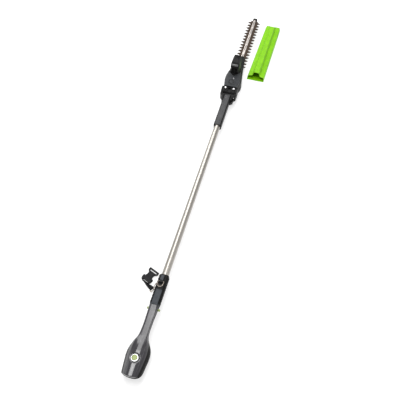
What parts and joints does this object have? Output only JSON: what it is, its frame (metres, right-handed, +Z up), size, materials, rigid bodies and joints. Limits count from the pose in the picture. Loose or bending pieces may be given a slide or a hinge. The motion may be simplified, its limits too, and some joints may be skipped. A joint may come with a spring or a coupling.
{
  "type": "pole hedge trimmer",
  "caption": "Cordless pole hedge trimmer: rear battery housing with neck and grip, straight tube, pivoting head with a double-sided blade, strap buckle and a loose blade sheath.",
  "frame": {"origin": "on the floor under the middle of the battery housing's flat underside, below the pole's axis", "axes": "+Y along the pole towards the blade tip, +Z up, +X to the right seen from the battery end"},
  "size_m": [0.2724, 2.323, 0.1766],
  "materials": {
    "gloss_shell": "gloss moulded plastic",
    "black_shell": "satin moulded plastic",
    "battery_case": "fine spark-eroded plastic",
    "circuit_board": "lacquered board",
    "bright_bezel": "bright plated",
    "green_button": "satin moulded plastic",
    "grey_grip": "matt moulded plastic",
    "grip_rubber": "ribbed soft overmould",
    "tube_metal": "drawn and brushed",
    "lead_sheath": "smooth",
    "grey_cover": "matt moulded plastic",
    "dark_steel": "blackened",
    "bright_steel": "zinc plated",
    "gear_case": "satin cast look",
    "blade_steel": "blackened, ground teeth",
    "bar_steel": "brushed across",
    "nickel": "warm nickel plate",
    "webbing": "woven webbing",
    "buckle_plastic": "satin moulded plastic",
    "sheath_plastic": "bright moulded plastic"
  },
  "bodies": {
    "tool": {"housing_lower_shell": "black_shell", "housing_top_shell": "gloss_shell", "terminal_block": "black_shell", "control_board": "circuit_board", "button_bezel": "bright_bezel", "trigger_pin": "bright_steel", "trigger_switch": "black_shell", "grip_panel": "grey_grip", "grip_pads": "grip_rubber", "strap_mount": "black_shell", "strap_tab": "black_shell", "tab_pad": "grey_grip", "pole_tube": "tube_metal", "power_lead": "lead_sheath", "lead_connector": "black_shell", "sleeve_cover": "grey_cover", "sleeve_body": "black_shell", "sleeve_screw": "dark_steel", "pivot_yoke": "black_shell", "pivot_bolt": "dark_steel", "pivot_nut": "dark_steel", "lever_pin": "bright_steel"},
    "battery": {"battery_pack": "battery_case"},
    "release_button": {"battery_release_button": "green_button"},
    "trigger_lever": {"trigger": "black_shell"},
    "lock_off_right": {"lock_off_button_right": "green_button"},
    "lock_off_left": {"lock_off_button_left": "green_button"},
    "head": {"pivot_barrel": "black_shell", "barrel_screws": "bright_steel", "index_disc": "dark_steel", "gear_case_base": "gear_case", "gear_case_cover": "gear_case", "case_screws": "dark_steel", "motor_cover": "black_shell", "vent_grille": "black_shell", "motor_cover_lip": "grey_cover", "motor_cover_cap": "black_shell", "head_rear_cover": "grey_cover", "cover_boss": "grey_cover", "cover_screw": "bright_steel", "motor_can": "bright_steel", "crank_bearings": "bright_steel", "blade_bar": "bar_steel", "guide_bolts": "bar_steel", "guide_nuts": "dark_steel", "tip_guard": "black_shell"},
    "lever": {"lock_lever": "black_shell"},
    "crank": {"crank_gear": "dark_steel"},
    "rotor": {"motor_rotor": "dark_steel"},
    "blade_upper": {"upper_blade": "blade_steel"},
    "blade_lower": {"lower_blade": "blade_steel"},
    "ring": {"strap_ring": "nickel"},
    "hook": {"snap_hook": "nickel"},
    "gate": {"hook_gate": "nickel"},
    "strap": {"webbing_loop": "webbing", "buckle_socket": "buckle_plastic"},
    "plug": {"buckle_plug": "buckle_plastic"},
    "sheath": {"blade_sheath": "sheath_plastic"}
  },
  "joints": [
    {"name": "battery_slide", "type": "slide", "parent": "tool", "child": "battery", "axis": [0, -1, 0], "range_m": [0, 0.125]},
    {"name": "release_press", "type": "slide", "parent": "tool", "child": "release_button", "axis": [0, 0, -1], "range_m": [0, 0.0025], "stiffness_N_per_m": 600},
    {"name": "trigger_pull", "type": "hinge", "parent": "tool", "child": "trigger_lever", "pos_m": [0, 0.188, 0.041], "axis": [-1, 0, 0], "range_deg": [0, 9], "stiffness_Nm_per_rad": 1.5, "springref_deg": -5.73},
    {"name": "lock_off_right_press", "type": "slide", "parent": "tool", "child": "lock_off_right", "axis": [-1, 0, 0], "range_m": [0, 0.0035], "stiffness_N_per_m": 400},
    {"name": "lock_off_left_press", "type": "slide", "parent": "tool", "child": "lock_off_left", "axis": [1, 0, 0], "range_m": [0, 0.0035], "stiffness_N_per_m": 400},
    {"name": "head_pivot", "type": "hinge", "parent": "tool", "child": "head", "pos_m": [0, 1.528, 0.05], "axis": [1, 0, 0], "range_deg": [-45, 90]},
    {"name": "lever_squeeze", "type": "hinge", "parent": "tool", "child": "lever", "pos_m": [0.0335, 1.48, 0.0445], "axis": [0, 0, -1], "range_deg": [0, 5], "stiffness_Nm_per_rad": 2},
    {"name": "crank_spin", "type": "hinge", "parent": "head", "child": "crank", "pos_m": [0, 1.65, 0.04], "axis": [0, 0, 1], "continuous": true},
    {"name": "rotor_spin", "type": "hinge", "parent": "head", "child": "rotor", "pos_m": [0, 1.6876, 0.04], "axis": [0, 0, 1], "continuous": true},
    {"name": "upper_blade_stroke", "type": "slide", "parent": "head", "child": "blade_upper", "axis": [0, 1, 0], "range_m": [-0.007, 0.007]},
    {"name": "lower_blade_stroke", "type": "slide", "parent": "head", "child": "blade_lower", "axis": [0, 1, 0], "range_m": [-0.007, 0.007]},
    {"name": "ring_swing", "type": "hinge", "parent": "tool", "child": "ring", "pos_m": [-0.003, 0.32, 0.0742], "axis": [-1, 0, 0], "range_deg": [0, 70]},
    {"name": "hook_swing", "type": "hinge", "parent": "ring", "child": "hook", "pos_m": [-0.015, 0.303, 0.07876], "axis": [0, 0.9659, -0.2588], "range_deg": [0, 45]},
    {"name": "gate_open", "type": "hinge", "parent": "hook", "child": "gate", "pos_m": [-0.00923, 0.303, 0.07587], "axis": [0, -1, 0], "range_deg": [0, 10], "stiffness_Nm_per_rad": 0.02},
    {"name": "strap_swing", "type": "hinge", "parent": "hook", "child": "strap", "pos_m": [-0.045, 0.3065, 0.0042], "axis": [0.4907, 0.8713, 0], "range_deg": [-45, 45]},
    {"name": "plug_release", "type": "slide", "parent": "strap", "child": "plug", "axis": [0.3746, 0.9272, 0], "range_m": [0, 0.04]},
    {"name": "sheath_slide", "type": "slide", "parent": "tool", "child": "sheath", "axis": [0, 1, 0], "range_m": [0, 0.4]}
  ],
  "couplings": [
    {"joint": "rotor_spin", "follows": "crank_spin", "ratio": -4},
    {"joint": "lower_blade_stroke", "follows": "upper_blade_stroke", "ratio": -1}
  ]
}
